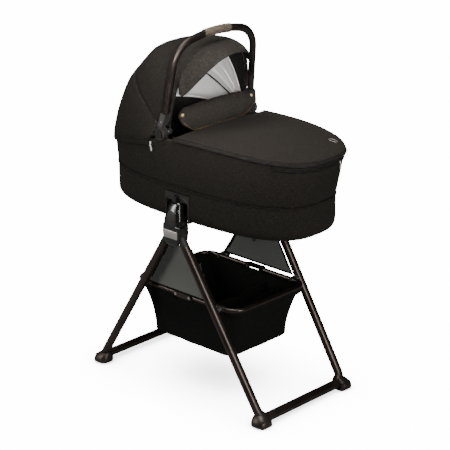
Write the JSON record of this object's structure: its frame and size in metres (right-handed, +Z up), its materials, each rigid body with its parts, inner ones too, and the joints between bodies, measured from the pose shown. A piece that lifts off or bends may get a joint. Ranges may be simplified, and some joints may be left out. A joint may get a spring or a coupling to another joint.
{
  "type": "bassinet on stand",
  "caption": "Carrycot bassinet with hood, apron and carry handle, docked on a folding cross-legged tube stand with a fabric storage basket.",
  "frame": {"origin": "on the floor, below the middle of the cot's bounding box", "axes": "+X towards the foot end, +Y to the far side, +Z up"},
  "size_m": [0.8469, 0.4644, 1.1949],
  "materials": {
    "moulded_black": "moulded, fine matt grain",
    "gloss_black": "moulded, polished",
    "badge_metal": "brushed, plain",
    "steel": "zinc plated",
    "bronze_tube": "dark bronze metallic powder coat",
    "bronze_fitting": "dark bronze metallic paint on a casting",
    "handle_bronze": "dark bronze anodised",
    "basket_fabric": "black woven polyester",
    "side_mesh": "grey warp-knitted mesh",
    "foot_rubber": "matt",
    "body_fabric": "black melange weave",
    "liner_fabric": "soft jersey lining",
    "tub_plastic": "polypropylene",
    "grip_leather": "brown leatherette, stitched",
    "snap_gold": "gold plated"
  },
  "bodies": {
    "stand_hubs": {"hub_frames": "moulded_black", "hub_covers": "moulded_black", "hub_badges": "badge_metal", "leg_pivot_pins": "steel", "button_springs": "steel", "docking_tongues": "gloss_black", "basket": "basket_fabric", "basket_dividers": "basket_fabric", "side_mesh_panels": "side_mesh"},
    "head_legs": {"head_leg_tubes": "bronze_tube", "head_leg_collars": "moulded_black", "head_corner_fittings": "bronze_fitting", "head_foot_pads": "foot_rubber", "head_crossbar": "bronze_tube", "head_rim_pivots": "steel"},
    "foot_legs": {"foot_leg_tubes": "bronze_tube", "foot_leg_collars": "moulded_black", "foot_corner_fittings": "bronze_fitting", "foot_foot_pads": "foot_rubber", "foot_crossbar": "bronze_tube", "foot_rim_pivots": "steel"},
    "head_rim": {"head_rim_tube": "bronze_tube"},
    "foot_rim": {"foot_rim_tube": "bronze_tube"},
    "rim_link": {"rim_link_plates": "bronze_tube", "rim_link_rivets": "steel"},
    "fold_button_near": {"fold_button_near": "moulded_black"},
    "fold_button_far": {"fold_button_far": "moulded_black"},
    "cot": {"lower_cover": "body_fabric", "base_tub": "tub_plastic", "base_pegs": "moulded_black", "side_sockets": "moulded_black", "upper_cover": "body_fabric", "liner": "liner_fabric", "top_frame": "steel", "mattress": "liner_fabric", "apron": "body_fabric", "pivot_housings": "moulded_black", "handle_pivot_pins": "steel", "hood_rear": "body_fabric"},
    "handle": {"handle_tube": "handle_bronze", "handle_grip": "grip_leather", "handle_knuckles": "moulded_black", "knuckle_screws": "steel", "hood_front": "body_fabric", "front_rib": "tub_plastic"},
    "hood_middle": {"hood_middle": "body_fabric", "middle_rib": "tub_plastic"},
    "visor": {"visor": "body_fabric"},
    "wind_flap": {"wind_flap": "body_fabric", "flap_snaps": "snap_gold"},
    "pivot_button_near": {"pivot_button_near": "gloss_black"},
    "pivot_button_far": {"pivot_button_far": "gloss_black"}
  },
  "joints": [
    {"name": "head_legs_fold", "type": "hinge", "parent": "stand_hubs", "child": "head_legs", "pos_m": [-0.0405, 0, 0.56879], "axis": [0, -1, 0], "range_deg": [0, 31], "deforming": ["basket", "basket_dividers", "side_mesh_panels"]},
    {"name": "foot_legs_fold", "type": "hinge", "parent": "stand_hubs", "child": "foot_legs", "pos_m": [-0.0085, 0, 0.56879], "axis": [0, 1, 0], "range_deg": [0, 31]},
    {"name": "head_rim_fold", "type": "hinge", "parent": "head_legs", "child": "head_rim", "pos_m": [-0.18791, 0, 0.3365], "axis": [0, -1, 0], "range_deg": [0, 68.4]},
    {"name": "foot_rim_fold", "type": "hinge", "parent": "foot_legs", "child": "foot_rim", "pos_m": [0.13891, 0, 0.3365], "axis": [0, 1, 0], "range_deg": [0, 68.4]},
    {"name": "rim_link_turn", "type": "hinge", "parent": "head_rim", "child": "rim_link", "pos_m": [-0.0545, 0, 0.3365], "axis": [0, 1, 0], "range_deg": [0, 99.4]},
    {"name": "fold_button_near_press", "type": "slide", "parent": "stand_hubs", "child": "fold_button_near", "axis": [0, 1, 0], "range_m": [0, 0.004], "stiffness_N_per_m": 600, "deforming": ["button_springs"]},
    {"name": "fold_button_far_press", "type": "slide", "parent": "stand_hubs", "child": "fold_button_far", "axis": [0, -1, 0], "range_m": [0, 0.004], "stiffness_N_per_m": 600, "deforming": ["button_springs"]},
    {"name": "cot_lift", "type": "slide", "parent": "stand_hubs", "child": "cot", "axis": [0, 0, 1], "range_m": [0, 0.15]},
    {"name": "handle_turn", "type": "hinge", "parent": "cot", "child": "handle", "pos_m": [-0.0835, 0, 0.877], "axis": [0, -1, 0], "range_deg": [0, 62], "deforming": ["hood_rear", "hood_middle", "hood_front"]},
    {"name": "hood_middle_turn", "type": "hinge", "parent": "cot", "child": "hood_middle", "pos_m": [-0.0835, 0, 0.877], "axis": [0, -1, 0], "range_deg": [0, 31]},
    {"name": "visor_turn", "type": "hinge", "parent": "handle", "child": "visor", "pos_m": [-0.0835, 0, 0.877], "axis": [0, -1, 0], "range_deg": [0, 25]},
    {"name": "wind_flap_turn", "type": "hinge", "parent": "cot", "child": "wind_flap", "pos_m": [-0.016, 0, 0.8775], "axis": [0, 1, 0], "range_deg": [0, 90]},
    {"name": "pivot_button_near_press", "type": "slide", "parent": "handle", "child": "pivot_button_near", "axis": [0, 1, 0], "range_m": [0, 0.0025], "stiffness_N_per_m": 600},
    {"name": "pivot_button_far_press", "type": "slide", "parent": "handle", "child": "pivot_button_far", "axis": [0, -1, 0], "range_m": [0, 0.0025], "stiffness_N_per_m": 600}
  ],
  "couplings": [
    {"joint": "foot_legs_fold", "follows": "head_legs_fold", "ratio": 1},
    {"joint": "head_rim_fold", "follows": "head_legs_fold", "ratio": 2.2},
    {"joint": "foot_rim_fold", "follows": "head_legs_fold", "ratio": 2.2},
    {"joint": "rim_link_turn", "follows": "head_legs_fold", "ratio": 3.2},
    {"joint": "hood_middle_turn", "follows": "handle_turn", "ratio": 0.5}
  ]
}
